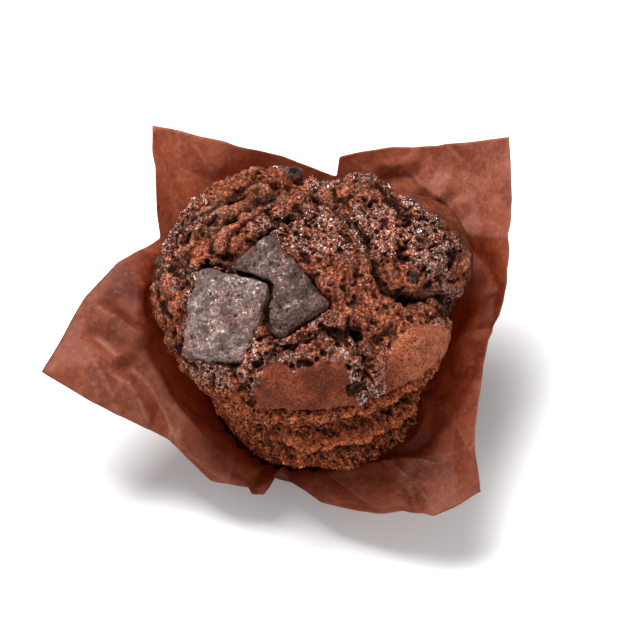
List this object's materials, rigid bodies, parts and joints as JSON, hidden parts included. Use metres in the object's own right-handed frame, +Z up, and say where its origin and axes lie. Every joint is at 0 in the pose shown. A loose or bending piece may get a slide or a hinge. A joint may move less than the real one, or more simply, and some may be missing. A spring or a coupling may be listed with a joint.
{
  "type": "muffin",
  "caption": "Domed, cracked chocolate muffin with chocolate chunks and chips, standing in a square sheet of brown paper pressed into a cup with four flared corners",
  "frame": {"origin": "centre of the wrap's flat underside, on the surface that the muffin stands on", "axes": "+Z up through the dome, +X to the right and -Y to the front, where the chunks and the low side of the wrap are"},
  "size_m": [0.1295, 0.0991, 0.0789],
  "materials": {
    "crumb": "matte",
    "wrap_paper": "satin",
    "chunk_chocolate": "matte",
    "chip_chocolate": "satin"
  },
  "bodies": {
    "root": {"muffin_crumb": "crumb", "paper_wrap": "wrap_paper", "chocolate_chunk_left": "chunk_chocolate", "chocolate_chunk_right": "chunk_chocolate", "chocolate_chip_back": "chip_chocolate", "chocolate_chip_right": "chip_chocolate", "chocolate_chip_rim": "chip_chocolate", "chocolate_chip_front": "chip_chocolate", "chocolate_chip_left": "chip_chocolate"}
  },
  "joints": []
}
